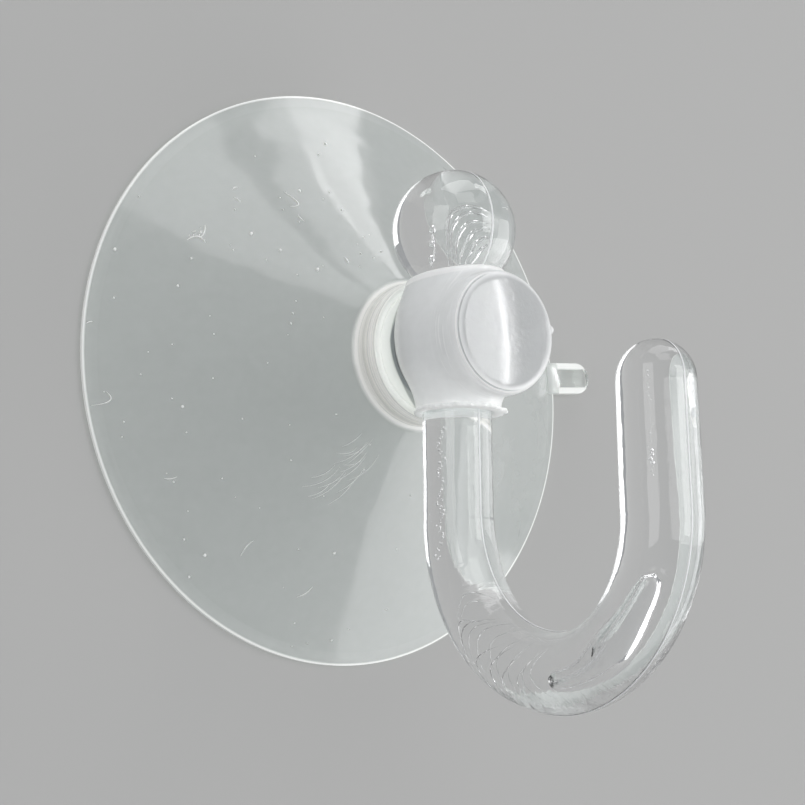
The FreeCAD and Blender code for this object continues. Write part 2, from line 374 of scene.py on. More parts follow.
def bubbles():
    """Strings of bubbles: in the ball, in a wavy line down the shank, and up the arm."""
    rng = np.random.default_rng(7)
    found = []
    for k in range(BALL_BUBBLES):
        place = in_ball(-1.08 + 0.1 * rng.normal(), 0.15 - 0.2 * k)
        found.append(bubble(place, rng.uniform(0.05, 0.11) + 0.08 * (k % 4 == 0)))
    for k in range(SHANK_BUBBLES):
        wander = 0.16 * math.sin(0.5 * k) + 0.05 * rng.normal()
        place = [-0.75 + wander, -SHANK_DEPTH + 0.5 + 0.1 * rng.normal(), -6.2 - 0.155 * k]
        found.append(bubble(place, rng.uniform(0.025, 0.08)))
    for k in range(ARM_BUBBLES):
        place = [-0.35 + 0.04 * rng.normal(), -SHANK_DEPTH - 21.5 + 0.08 * rng.normal(),
                 -12.6 + 0.28 * k]
        found.append(bubble(place, rng.uniform(0.02, 0.06) + 0.06 * (3 <= k <= 6)))
    return found


# %% [markdown]
# Where the plastic folded over itself it left thin threads of air. In the ball they are a fan of
# arches under the gate, each given by its foot, its crown and its end. In the bend they are short
# ripples across the rod, scattered by a fixed random draw.

# %% Hook: folds
BALL_FOLDS = [((-0.28, -1.9), (-0.95, 2.3), (1.8, 0.9)), ((-0.1, -1.9), (-0.55, 1.7), (1.75, 0.75)),
              ((0.1, -1.9), (-0.1, 1.1), (1.8, 0.4)), ((0.3, -1.9), (0.5, 0.5), (1.85, 0.1)),
              ((0.55, -1.9), (0.95, -0.2), (1.85, -0.35)), ((0.9, -1.8), (1.3, -0.8), (1.8, -0.7))]
FOLD_ROWS = 44
BEND_FOLDS = 15


def ball_folds():
    """A fan of arches in the ball: curved tubes that waver a little, thickest in their middle."""
    folds = []
    for k, (foot, crown, end) in enumerate(BALL_FOLDS):
        t = np.linspace(0, 1, FOLD_ROWS)
        path = curve_through(in_ball(*foot), in_ball(*crown), in_ball(*end), FOLD_ROWS)
        path = path + 0.05 * np.sin(t * (9 + k) + k)[:, None] * np.array([0.8, -0.6, 0.6])
        folds.append(hollow_skin(tube_skin(path, 0.105 * np.sin(0.12 + 2.9 * t) ** 0.7, 10)))
    return folds


def bend_folds():
    """Short ripples across the rod: arcs about the rod's centreline, bent along the first bend."""
    rng = np.random.default_rng(3)
    folds = []
    for k in range(BEND_FOLDS):
        corner = math.radians(34 + 3.6 * k)
        t = np.linspace(0, 1, 24)
        turn = math.radians(rng.uniform(95, 165)) + math.radians(rng.uniform(70, 130)) * t
        away = rng.uniform(1.5, 2.3)
        inwards = away * np.sin(turn)
        lean = corner + math.radians(7) * (t - 0.5) ** 2 * 4 + 0.01 * np.sin(9 * t)
        arc = FIRST_BEND - inwards
        path = np.stack([away * np.cos(turn), -SHANK_DEPTH - FIRST_BEND + arc * np.cos(lean),
                         -BEND_START - arc * np.sin(lean)], -1)
        folds.append(hollow_skin(tube_skin(path, rng.uniform(0.02, 0.05) * np.sin(0.1 + 2.9 * t), 8)))
    return folds


# %% Hook: one piece
inner = [bend_void(), *bubbles(), *ball_folds(), *bend_folds()]
hook_points, hook_faces = join_skins([hook_skin, *inner])
hook = make_piece("hook_clear", hook_points, hook_faces)
print("hook", len(hook_points), "points,", len(inner), "hollows inside")

# %% [markdown]
# Patterns on the hook follow the plastic's flow, which ran along the rod. So each point keeps how
# far along the rod it lies and its angle round it, as a cosine and a sine that meet without a jump.

# %% Hook: how the plastic flowed, kept on the points
def keep_on_points(name, kind, key, grid_values):
    """Keeps the grid's values on the hook's points. The hollows' points keep nought."""
    width = grid_values.shape[-1]
    values = np.zeros((len(hook_points), width), np.float32)
    values[:grid_values.size // width] = grid_values.reshape(-1, width)
    hook.data.attributes.new(name, kind, "POINT").data.foreach_set(key, values.ravel())


distance = np.r_[0, np.cumsum(np.hypot(np.diff(reach), np.diff(level)))]
flow = np.stack(np.broadcast_arrays(distance[:, None], np.cos(around), np.sin(around)), -1)
keep_on_points("flow", "FLOAT_VECTOR", "vector", flow)
keep_on_points("seam", "FLOAT", "value", (seam_ridge(around, thick[:, None]) / SEAM_HEIGHT)[..., None])
print("rod length", round(float(distance[-1]), 1), "mm")


# %% [markdown]
# The flared cup, its lip, the boss and the neck were made by turning, so they are one half section
# turned about the cup's axis. The half section starts at the middle of the hollow, runs out under
# the cup to the sealing lip, back over the outside, and along the boss into the neck.

# %% Cup: half section
def straight_run(start, end, count):
    """Evenly spread points from start up to, but without, end."""
    t = np.linspace(0, 1, count, endpoint=False)[:, None]
    return np.array(start) * (1 - t) + np.array(end) * t


def crown_run(count):
    """The hollow's round crown, a ball's cap that meets the hollow's cone without a crease."""
    slope = math.atan2(HOLLOW_EDGE, HOLLOW_MOUTH - HOLLOW_CROWN)
    ball = HOLLOW_CROWN / math.sin(slope)
    turn = np.linspace(0, slope, count, endpoint=False)
    centre = HOLLOW_EDGE - ball * math.cos(slope)
    return np.stack([ball * np.sin(turn), centre + ball * np.cos(turn)], -1)


def outside_run(count):
    """The cup's outside: a straight cone that dips by the sag in its middle."""
    t = np.linspace(0, 1, count, endpoint=False)
    start, end = np.array([RIM_RADIUS, LIP_EDGE]), np.array([BOSS_RADIUS, BOSS_DEPTH])
    along = (end - start) / np.linalg.norm(end - start)
    inwards = np.array([-along[1], along[0]])
    dip = 4 * CUP_SAG * t * (1 - t)
    return start + (end - start) * t[:, None] + inwards * dip[:, None]


def boss_run(count):
    """The boss's side: a slight taper with the turning tool's grooves, which fade at both ends."""
    t = np.linspace(0, 1, count, endpoint=False)
    ridges = 0.5 - 0.5 * np.cos(t * BOSS_LENGTH * 2 * math.pi / TOOL_PITCH)
    uneven = 0.6 + 0.4 * np.sin(t * 17 + 1)
    cut = TOOL_CUT * ridges * uneven * np.clip(t / 0.1, 0, 1) * np.clip((1 - t) / 0.12, 0, 1)
    return np.stack([BOSS_RADIUS - BOSS_TAPER * t - cut, BOSS_DEPTH + BOSS_LENGTH * t], -1)


def through_corners(*corners):
    """Straight runs from corner to corner, each given by its radius, its depth and its run's count."""
    return np.vstack([straight_run(start[:2], end[:2], start[2])
                      for start, end in zip(corners, corners[1:])])


def cup_section():
    """Radius and depth of every point of the half section, poles left out."""
    stub = BOSS_FRONT + 0.26
    edge = BOSS_RADIUS - BOSS_TAPER
    under = through_corners(
        (HOLLOW_CROWN, HOLLOW_EDGE, 24), (HOLLOW_MOUTH, 0.05, 2), (HOLLOW_MOUTH + 0.07, 0.0, 3),
        (RIM_RADIUS - 0.1, 0.0, 2), (RIM_RADIUS, 0.1, 2), (RIM_RADIUS, LIP_EDGE, 0))
    front = through_corners(
        (edge, BOSS_FRONT - 0.04, 2), (edge - 0.05, BOSS_FRONT, 4), (FRONT_RING + 0.05, BOSS_FRONT, 2),
        (FRONT_RING, BOSS_FRONT - 0.06, 2), (FRONT_RING - 0.05, BOSS_FRONT, 6),
        (NECK_RADIUS, BOSS_FRONT, 3), (NECK_RADIUS, stub, 5), (0.4, stub, 0))
    return np.vstack([crown_run(14)[1:], under, outside_run(OUTSIDE_POINTS), boss_run(72), front])


def turned(section, columns):
    """A closed skin: the half section turned about the cup's axis."""
    turn = np.linspace(0, 2 * math.pi, columns, endpoint=False)
    grid = np.stack([section[:, :1] * np.cos(turn), np.repeat(-section[:, 1:], columns, 1),
                     section[:, :1] * np.sin(turn)], -1)
    return closed_skin(grid, [0, -section[0, 1], 0], [0, -section[-1, 1], 0])


section = cup_section()
cup = make_piece("cup_soft", *join_skins([turned(section, 200)]), scale=1)
print("cup half section", len(section), "points, deepest", round(float(section[:, 1].max()), 2), "mm")


# %% [markdown]
# The head is where the lug round the bore swells into the turned head, with soft fillets that no
# grid follows well. So it is a distance field: every point of a small block gets its distance to
# the head's skin, forms are joined with a smooth smaller-of, and the skin is drawn where the
# distance is nought.

# %% Cup: distance fields
def smooth_less(a, b, blend):
    """The lesser of two distances, rounded where they are within blend: joins with a fillet."""
    near = np.clip(blend - np.abs(a - b), 0, None) / blend
    return np.minimum(a, b) - near * near * blend / 4


def smooth_more(a, b, blend):
    """The greater of two distances, rounded where they are within blend: keeps what both share."""
    return -smooth_less(-a, -b, blend)


def block(low, high, pitch):
    """Coordinates of a block of points at an even pitch."""
    axes = [np.arange(low[k], high[k] + pitch, pitch, dtype=np.float32) for k in range(3)]
    return np.meshgrid(*axes, indexing="ij")


def head_field(x, depth, z):
    """The turned head: a rounded rear shoulder, a straight side and a slightly domed face."""
    out = np.hypot(x, z)
    face = np.sqrt(out ** 2 + (depth - HEAD_FRONT + FACE_DOME) ** 2) - FACE_DOME
    side = out - HEAD_RADIUS + HEAD_TAPER * (depth - HEAD_REAR)
    return smooth_more(smooth_more(side, HEAD_REAR - depth, HEAD_SHOULDER), face, FACE_ROUND)


def mouth_height(x, depth):
    """Height of the upper mouth, which stands a little higher towards the front and one side."""
    along = x * math.cos(MOUTH_HEADING) + (depth - SHANK_DEPTH) * math.sin(MOUTH_HEADING)
    return LUG_TOP + math.tan(MOUTH_TILT) * along


def lug_field(x, depth, z):
    """The upright lug, a slim cone round the bore between its two mouths."""
    out = np.hypot(x, depth - SHANK_DEPTH - LUG_FORWARD)
    wall = out - LUG_RADIUS - LUG_TAPER * z
    ends = smooth_more(z - mouth_height(x, depth), -LUG_BOTTOM - z, 0.1)
    lug = smooth_more(wall, ends, 0.22)
    return smooth_more(lug, BOSS_FRONT - 0.25 - depth, 0.1)


def belly_field(x, depth, z):
    """The swelling beside the lug: its radius falls off with height as an arc does."""
    out = np.hypot(x, depth - SHANK_DEPTH - LUG_FORWARD)
    height = np.clip(z - BELLY_HEIGHT, -7, 7)
    swell = out - (BELLY_RADIUS - BELLY_CURVE + np.sqrt(BELLY_CURVE ** 2 - height ** 2))
    belly = smooth_more(smooth_more(swell, np.abs(z) - 5.0, 0.6), HEAD_REAR - depth, 0.9)
    return smooth_more(belly, z - mouth_height(x, depth), 0.3)


def flash_field(x, depth, z):
    """A ragged film squeezed out at the lower mouth, longest on its front side."""
    turn = np.arctan2(depth - SHANK_DEPTH - LUG_FORWARD, x)
    out = np.hypot(x, depth - SHANK_DEPTH - LUG_FORWARD)
    ragged = 0.10 * np.sin(turn * 9 + 1) + 0.08 * np.sin(turn * 23) + 0.05 * np.sin(turn * 41 + 2)
    reach_out = LUG_RADIUS - 0.05 + (0.22 + ragged) * np.clip(0.35 + np.sin(turn), 0, 1)
    return smooth_more(out - reach_out, np.abs(z + LUG_BOTTOM - 0.12) - 0.13, 0.08)


def ball_field(x, depth, z, centre, radius):
    """A ball about a centre given by its x, its depth and its height."""
    return np.sqrt((x - centre[0]) ** 2 + (depth - centre[1]) ** 2 + (z - centre[2]) ** 2) - radius


# %% [markdown]
# Each form is joined with its own fillet, and the bore and the ball's seat are cut out last. The
# openvdb module, which is part of Blender, then draws the skin.

# %% Cup: the head's skin
PITCH = 0.11
BLOCK_LOW = (-5.0, BOSS_FRONT - 0.5, -5.6)
BLOCK_HIGH = (5.0, HEAD_FRONT + 0.3, 6.0)
NUB_PLACE = (HEAD_RADIUS - 0.05, 21.2, 0.7)
NUB_RADIUS = 0.36


def head_solid(x, depth, z):
    """Distance to the whole head: its forms joined, and the bore and the ball's seat cut out."""
    neck = smooth_more(np.hypot(x, z) - NECK_RADIUS + 0.04, np.abs(depth - HEAD_REAR) - 0.5, 0.1)
    forms = [(belly_field(x, depth, z), 1.0), (lug_field(x, depth, z), 0.7),
             (flash_field(x, depth, z), 0.12), (neck, 0.1),
             (ball_field(x, depth, z, NUB_PLACE, NUB_RADIUS), 0.3)]
    solid = head_field(x, depth, z)
    for form, fillet in forms:
        solid = smooth_less(solid, form, fillet)
    bore = np.hypot(x, depth - SHANK_DEPTH) - BORE_RADIUS
    seat = ball_field(x, depth, z, (0.0, SHANK_DEPTH, BALL_HEIGHT), BALL_RADIUS) - SEAT_GAP
    return smooth_more(solid, -smooth_less(bore, seat, 0.1), 0.16)


def skin_of_field(field, low, pitch):
    """The closed skin where a field of distances is nought, with its depth turned into -y."""
    grid = openvdb.FloatGrid(background=3 * pitch)
    grid.copyFromArray(np.clip(field, -3 * pitch, 3 * pitch).astype(np.float32))
    places, quads = grid.convertToQuads(isovalue=0.0)
    points = (np.array(low) + places * pitch) * np.array([1, -1, 1])
    return points, *outward(points, quads.astype(int), np.zeros((0, 3), int))


head_skin = skin_of_field(head_solid(*block(BLOCK_LOW, BLOCK_HIGH, PITCH)), BLOCK_LOW, PITCH)
head = make_piece("head_part", *join_skins([head_skin]), scale=1)
print("head skin", len(head_skin[0]), "points")


# %% [markdown]
# A small tab on the rim is what a finger pulls to let air in. It is a flat strip with a half-round
# end and rounded edges: an outline carried through a few levels, drawn in at the top and bottom.

# %% Cup: pull tab
def tab_outline():
    """The tab's outline, rooted inside the lip: two straight edges and a half-round end."""
    root, half = RIM_RADIUS - TAB_ROOT, TAB_HALF
    turn = np.linspace(-math.pi / 2, math.pi / 2, 33)
    end = np.stack([TAB_START + half * np.cos(turn), half * np.sin(turn)], -1)
    return np.vstack([straight_run([root, -half], [TAB_START, -half], 12), end,
                      straight_run([TAB_START, half], [root, half], 12)[1:], [[root, half]]])


def tab_skin():
    """The outline at ten levels, drawn in at the top and bottom and turned to the tab's place."""
    outline = tab_outline()
    middle = np.array([(RIM_RADIUS - TAB_ROOT + TAB_START) / 2, 0])
    quarter = np.linspace(0, math.pi / 2, 5)
    rise, draw_in = TAB_EDGE * (1 - np.sin(quarter)), TAB_EDGE * (1 - np.cos(quarter))
    level = np.r_[rise[::-1], TAB_THICKNESS - rise]
    draw = np.r_[draw_in[::-1], draw_in]
    toward = (middle - outline) / np.maximum(np.abs(outline - middle), 0.2)
    grid = outline[None] + np.clip(toward, -1, 1)[None] * draw[:, None, None]
    cos, sin = math.cos(TAB_ANGLE), math.sin(TAB_ANGLE)
    flat = np.stack([grid[..., 0] * cos - grid[..., 1] * sin,
                     np.broadcast_to(-(TAB_LIFT + level)[:, None], grid.shape[:2]),
                     grid[..., 0] * sin + grid[..., 1] * cos], -1)
    return closed_skin(flat, flat[0].mean(0), flat[-1].mean(0))


tab = make_piece("tab_part", *join_skins([tab_skin()]), scale=1)


# %% [markdown]
# Cup, head and tab are one moulding. They are joined by a boolean, which cuts away the walls that
# lie inside one another, so that light meets only the real surface. The boolean works in
# millimetres, because points a few hundredths of a millimetre apart would be merged in metres.

# %% Cup: one moulding
def weld(piece, other):
    """Joins another closed mesh into a piece and removes what is inside."""
    union = piece.modifiers.new("weld", "BOOLEAN")
    union.operation = "UNION"
    union.solver = "EXACT"
    union.object = other
    bpy.context.view_layer.update()
    graph = bpy.context.evaluated_depsgraph_get()
    whole = bpy.data.meshes.new_from_object(piece.evaluated_get(graph))
    piece.modifiers.clear()
    piece.data = whole
    bpy.data.objects.remove(other)


weld(cup, head)
weld(cup, tab)
cup.data.transform(Matrix.Scale(MM, 4))
cup.data.shade_smooth()
cup.data.set_sharp_from_angle(angle=math.radians(38))
print("cup welded", len(cup.data.polygons), "faces")


# %% [markdown]
# Shader maths reads best as sums. A small class holds one output of a node tree, and adding or
# multiplying two of them adds the Math node that does it. Any other node comes from one method.

# %% Material helpers
class Finish:
    """One material and its node tree."""

    def __init__(self, name):
        self.material = bpy.data.materials.new(name)
        self.material.use_nodes = True
        self.tree = self.material.node_tree
        self.tree.nodes.clear()

    def node(self, kind, settings=None, **sockets):
        """A node of that type: its settings, then its sockets by name, or by i and their number."""
        made = self.tree.nodes.new(kind)
        for key, value in (settings or {}).items():
            setattr(made, key, value)
        for key, value in sockets.items():
            numbered = key[0] == "i" and key[1:].isdigit()
            self.feed(made.inputs[int(key[1:]) if numbered else key], value)
        return made

    def feed(self, socket, value):
        """Links an output, or sets a plain value."""
        if isinstance(value, Value):
            self.tree.links.new(value.socket, socket)
        elif isinstance(value, bpy.types.NodeSocket):
            self.tree.links.new(value, socket)
        else:
            socket.default_value = value

    def value(self, socket):
        """An output as a value that can be added and multiplied."""
        return Value(self, socket)

    def place(self):
        """Object coordinates in millimetres, as three values."""
        coordinate = self.node("ShaderNodeTexCoord").outputs["Object"]
        scaled = self.node("ShaderNodeVectorMath", {"operation": "SCALE"}, i0=coordinate, Scale=1000.0)
        parts = self.node("ShaderNodeSeparateXYZ", i0=scaled.outputs[0])
        return scaled.outputs[0], *(self.value(parts.outputs[k]) for k in range(3))

    def noise(self, vector, scale, detail=3.0, roughness=0.5):
        """Smooth noise from about 0 to 1."""
        made = self.node("ShaderNodeTexNoise", i0=vector, Scale=scale, Detail=detail, Roughness=roughness)
        return self.value(made.outputs[0])

    def mix_colour(self, share, first, second):
        """The first colour where the share is 0 and the second where it is 1."""
        made = self.node("ShaderNodeMix", {"data_type": "RGBA"}, i0=share, i6=first, i7=second)
        return made.outputs[2]

    def mix(self, share, first, second):
        """The first shader where the share is 0 and the second where it is 1."""
        return self.node("ShaderNodeMixShader", i0=share, i1=first, i2=second).outputs[0]

    def principled(self, sockets, **others):
        """The general shader, its sockets given by name: those of several words in a table."""
        return self.node("ShaderNodeBsdfPrincipled", **sockets, **others).outputs[0]

    def combine(self, x, y, z):
        """Three values as one vector."""
        return self.node("ShaderNodeCombineXYZ", X=x, Y=y, Z=z).outputs[0]

    def surface(self, shader):
        """Links the shader to the material's output, and gives back the material."""
        self.node("ShaderNodeOutputMaterial", Surface=shader)
        print("material", self.material.name, len(self.tree.nodes), "nodes")
        return self.material


class Value:
    """One output of a node tree that can be added, multiplied and compared."""

    def __init__(self, finish, socket):
        self.finish, self.socket = finish, socket

    def maths(self, operation, *others):
        """A Math node of that operation with these values as its inputs."""
        inputs = {f"i{k}": other for k, other in enumerate(others)}
        made = self.finish.node("ShaderNodeMath", {"operation": operation}, **inputs)
        return Value(self.finish, made.outputs[0])

    def __add__(self, other):
        return self.maths("ADD", self, other)

    __radd__ = __add__

    def __sub__(self, other):
        return self.maths("SUBTRACT", self, other)

    def __rsub__(self, other):
        return self.maths("SUBTRACT", other, self)

    def __mul__(self, other):
        return self.maths("MULTIPLY", self, other)

    __rmul__ = __mul__

    def __truediv__(self, other):
        return self.maths("DIVIDE", self, other)

    def __pow__(self, other):
        return self.maths("POWER", self, other)

    def fade(self, start, end):
        """0 before start and 1 after end, with a soft step between them."""
        low, high, at_low, at_high = (start, end, 0.0, 1.0) if start < end else (end, start, 1.0, 0.0)
        made = self.finish.node("ShaderNodeMapRange", {"interpolation_type": "SMOOTHSTEP"},
                                i0=self, i1=low, i2=high, i3=at_low, i4=at_high)
        return Value(self.finish, made.outputs[0])

    def clamp(self):
        """The value kept between 0 and 1."""
        made = self.maths("ADD", self, 0.0)
        made.socket.node.use_clamp = True
        return made


# %% [markdown]
# The hook's plastic is clear right through, so its look comes from what it bends and mirrors. Its
# surface has faint drawn-out waves along the flow, a little stronger in the bend. Lamps can't aim
# through a bending surface, so rays that ask for a lamp, or that a matt surface sends out, pass
# straight on. That also keeps specks of gathered light off the cup.

# %% Finish of the hook
def clear_plastic():
    """Clear plastic with faint waves along its flow and a frosted seam."""
    finish = Finish("hook_clear_plastic")
    flow_node = finish.node("ShaderNodeAttribute", {"attribute_name": "flow"})
    parts = finish.node("ShaderNodeSeparateXYZ", i0=flow_node.outputs["Vector"])
    along, side, front = (finish.value(parts.outputs[k]) for k in range(3))
    drawn = finish.combine(along * 0.16, side * 3.0, front * 3.0)
    ripple = finish.noise(drawn, 1.6, 4.0)
    rings = finish.noise(finish.combine(along * 2.2, side * 0.8, front * 0.8), 1.0, 3.0)
    in_bend = along.fade(27, 34) * along.fade(52, 44)
    height = ripple * 0.55 + rings * (0.12 + 0.55 * in_bend)
    bump = finish.node("ShaderNodeBump", Strength=0.30, Distance=0.00010, Height=height)
    glass = finish.principled({"Base Color": (0.985, 0.99, 0.992, 1), "Transmission Weight": 1.0},
                              Roughness=0.015, IOR=1.49, Normal=bump.outputs[0])
    seam_node = finish.node("ShaderNodeAttribute", {"attribute_name": "seam"})
    frosted = finish.value(seam_node.outputs["Fac"]).fade(0.12, 0.6) * 0.8
    scuffed = finish.principled({"Base Color": (0.93, 0.94, 0.95, 1)}, Roughness=0.3)
    passing = finish.node("ShaderNodeBsdfTransparent", Color=(0.93, 0.94, 0.94, 1)).outputs[0]
    path = finish.node("ShaderNodeLightPath").outputs
    seen = finish.mix(path["Is Diffuse Ray"], finish.mix(frosted, glass, scuffed), passing)
    return finish.surface(finish.mix(path["Is Shadow Ray"], seen, passing))


hook.data.materials.clear()
hook.data.materials.append(clear_plastic())

# %% [markdown]
# The cup's vinyl is hazy. Thin walls look like clear film with a grey bloom, and the thick boss and
# head scatter so much light that they look milky. Both are one material here: a clear film and a
# milky body, mixed by how thick the place is. Light spreads inside the milky body only, because in
# the film it would go out again at once.

# %% Finish of the cup
FILM_TONE = (0.55, 0.57, 0.56, 1)
# Painted highlight: the whiter tone of the lip's outer edge and the tab's outline, over the vinyl's haze.
EDGE_TONE = (0.95, 0.96, 0.94, 1)
SIDE_TONE = (0.82, 0.825, 0.83, 1)
# Painted light: the pale tone of the head's lower side and of streaks near its face.
LIGHT_TONE = (1.0, 1.0, 1.0, 1)
FACE_TONE = (0.50, 0.505, 0.51, 1)
# Painted highlight: the whiter tone along the bore's mouths and the face's crease.
MOUTH_TONE = (1.0, 1.0, 0.99, 1)
BOSS_TONE = (1.0, 0.99, 0.93, 1)
BOSS_LINE_TONE = (0.80, 0.80, 0.76, 1)
# Painted shade: a dark grey laid in the neck's crevice, in the groove inside the face's ring, and on the
# boss's front behind the head's outline.
SHADE_TONE = (0.30, 0.31, 0.32, 1)


def cup_masks(x, depth, z, out):
    """Where the cup's different places are, each from 0 to 1; some mark where light and shade are painted.
    """
    from_bore = (x * x + (depth - SHANK_DEPTH) * (depth - SHANK_DEPTH)) ** 0.5
    over_mouth = z - mouth_height(x, depth)
    along = x * math.cos(TAB_ANGLE) + z * math.sin(TAB_ANGLE)
    across = z * math.cos(TAB_ANGLE) - x * math.sin(TAB_ANGLE)
    past = (along - TAB_START).maths("MAXIMUM", 0.0)
    from_middle = (past * past + across * across) ** 0.5
    tab = out.fade(22.55, 22.7) * x.fade(20, 21)
    # seen is the half of the head towards the camera: the ring's painted highlight and shade lines and the
    # pale streaks near the face lie only there.
    seen = (0 - 0.956 * x - 0.292 * z).fade(-0.3, 1.3)
    # An oval about the head's outline on the boss's front, where painted shade lies behind the head.
    across_share = x / 3.95
    up_share = (z - 0.4) / 6.1
    behind_head = (across_share * across_share) ** 0.75 + (up_share * up_share) ** 0.75
    return {
        "thick": depth.fade(10.9, 11.15) * out.fade(9.0, 7.6),
        "boss": depth.fade(10.9, 11.15) * depth.fade(13.2, 13.14),
        # The neck is milkier, and it and the oval behind the head are darkened with painted shade.
        "neck": depth.fade(12.98, 13.06) * depth.fade(13.95, 13.6) * out.fade(3.95, 3.55),
        "behind_head": behind_head.fade(1.0, 0.93) * depth.fade(12.85, 12.95) * depth.fade(13.95, 13.6),
        "lip": out.fade(21.45, 21.6) * depth.fade(1.2, 0.6),
        # edge and tab_edge: the lip's outer edge and the tab's outline, made hazier and whiter as painted
        # highlight lines.
        "edge": out.fade(22.28, 22.42) * depth.fade(0.9, 0.5) * (1 - tab),
        "tab": tab,
        "tab_edge": tab * from_middle.fade(0.84, 0.98),
        # The bore's two mouths: milkier, and whitened with painted highlight along their edges.
        "mouths": from_bore.fade(4.1, 3.8) * (over_mouth.fade(-0.5, -0.32) + z.fade(-4.72, -4.95)).clamp(),
        "face": depth.fade(21.2, 21.5) * out.fade(4.27, 3.85),
        # crease: a painted highlight line on the face's ring; groove: a painted shade line just inside it.
        # Both are also bumped.
        "crease": seen * out.fade(4.37, 4.40) * out.fade(4.49, 4.45) * depth.fade(20.9, 21.2),
        "groove": seen * out.fade(4.26, 4.29) * out.fade(4.37, 4.34) * depth.fade(20.9, 21.2),
        "near_face": depth.fade(18.6, 19.6) * depth.fade(21.2, 20.9) * out.fade(3.6, 4.0) * seen,
    }


def milky_share(at, out, cloud, fine):
    """How much is milky, not clear: a haze in the thin walls, and far more in the thick places."""
    # The lip's edge and the tab's outline get far more haze: painted highlight lines over the vinyl's own
    # haze.
    haze = (0.43 + 0.09 * (cloud - 0.5) + 0.03 * (fine - 0.5) + 0.04 * at["lip"] + 0.45 * at["edge"]
            + 0.06 * out.fade(11.0, 5.6) - 0.34 * at["tab"] + 0.8 * at["tab_edge"])
    milk = 0.80 + 0.10 * (fine - 0.5) + 0.2 * (at["boss"] + at["mouths"] + at["crease"] + at["neck"])
    return (haze * (1 - at["thick"]) + milk * at["thick"]).clamp()


def milky_tone(finish, at, z, streaks, boss_lines):
    """The tone of the thick places: side, face, mouths, boss, painted light, and painted shade behind the
    head, in the neck and in the groove.
    """
    # Painted light: the side is paler towards the bottom, for light from below, and in streaks near the
    # face on the half towards the camera.
    painted_light = (streaks.fade(0.55, 0.66) * at["near_face"] * 0.6 + z.fade(-0.5, -4.5) * 0.8).clamp()
    side = finish.mix_colour(painted_light, SIDE_TONE, LIGHT_TONE)
    plain = finish.mix_colour(at["face"], side, FACE_TONE)
    # Painted highlight: the mouths and the crease get a whiter tone.
    head = finish.mix_colour((at["mouths"] + at["crease"]).clamp(), plain, MOUTH_TONE)
    boss = finish.mix_colour(boss_lines, BOSS_TONE, BOSS_LINE_TONE)
    whole = finish.mix_colour(at["boss"], head, boss)
    # Painted shade: the groove, the neck and the boss's front behind the head are darkened towards the
    # shade tone.
    shade = (at["groove"] * 0.7 + at["neck"] + at["behind_head"] * 0.75).clamp()
    return finish.mix_colour(shade, whole, SHADE_TONE)


def soft_vinyl():
    """Hazy film and milky body in one material, with the boss's turned lines, the face's grain, and
    painted light and shade.
    """
    finish = Finish("cup_soft_vinyl")
    place, x, y, z = finish.place()
    depth = 0 - y
    out = (x * x + z * z) ** 0.5
    at = cup_masks(x, depth, z, out)
    cloud = finish.noise(place, 0.16, 3.0)
    fine = finish.noise(place, 1.3, 4.0)
    grain = finish.noise(place, 3.0, 2.0)
    streaks = finish.noise(finish.combine(depth * 5.0, x * 0.3, z * 0.3), 1.0, 2.0)
    turning = finish.noise(finish.combine(depth * 8.0, out * 0.3, cloud), 1.0, 3.0)
    boss_side = out.fade(5.0, 5.2)
    share = milky_share(at, out, cloud, fine)
    # The film is whiter at the lip's edge and the tab's outline: painted highlight.
    film_tint = finish.mix_colour((at["edge"] + at["tab_edge"]).clamp(), FILM_TONE, EDGE_TONE)
    body_tint = milky_tone(finish, at, z, streaks, turning.fade(0.42, 0.55) * boss_side)

    rings = turning * at["boss"] * boss_side
    waves = finish.noise(place, 0.3, 0.6)
    height = (rings * 2.2 + waves * (1.0 - 0.9 * at["face"]) + grain * 0.45 * at["face"]
              + streaks * 0.5 * at["near_face"] + 0.6 * at["crease"] - 0.8 * at["groove"])
    bump = finish.node("ShaderNodeBump", Strength=0.5, Distance=0.0001, Height=height)
    shared = {"IOR": 1.5, "Normal": bump.outputs[0]}
    clear = finish.principled({"Base Color": (0.955, 0.97, 0.965, 1), "Transmission Weight": 1.0},
                              Roughness=0.07, **shared)
    solid = finish.principled({"Base Color": body_tint, "Coat Weight": at["face"] * 0.85,
                               "Coat Roughness": 0.11, "Subsurface Weight": 0.6,
                               "Subsurface Scale": 0.0015, "Subsurface Radius": (1.0, 1.0, 1.0)},
                              Roughness=0.25 - 0.14 * at["face"] + 0.2 * rings, **shared)
    bloom = finish.principled({"Base Color": film_tint}, Roughness=0.10, **shared)
    body = finish.mix(share, clear, finish.mix(at["thick"], bloom, solid))
    passing = finish.node("ShaderNodeBsdfTransparent", Color=(0.80, 0.82, 0.81, 1)).outputs[0]
    path = finish.node("ShaderNodeLightPath").outputs
    return finish.surface(finish.mix(path["Is Shadow Ray"], body, passing))


cup.data.materials.clear()
cup.data.materials.append(soft_vinyl())

# %% [markdown]
# The cup has been handled, and clear vinyl gathers dust. Specks and short fibres lie on its outside,
# most of them high on the left, and fine scratches run towards the boss. The longest fibre is bent
# like a hook. Each is a small closed form, placed by its distance from the cup's axis and its angle.

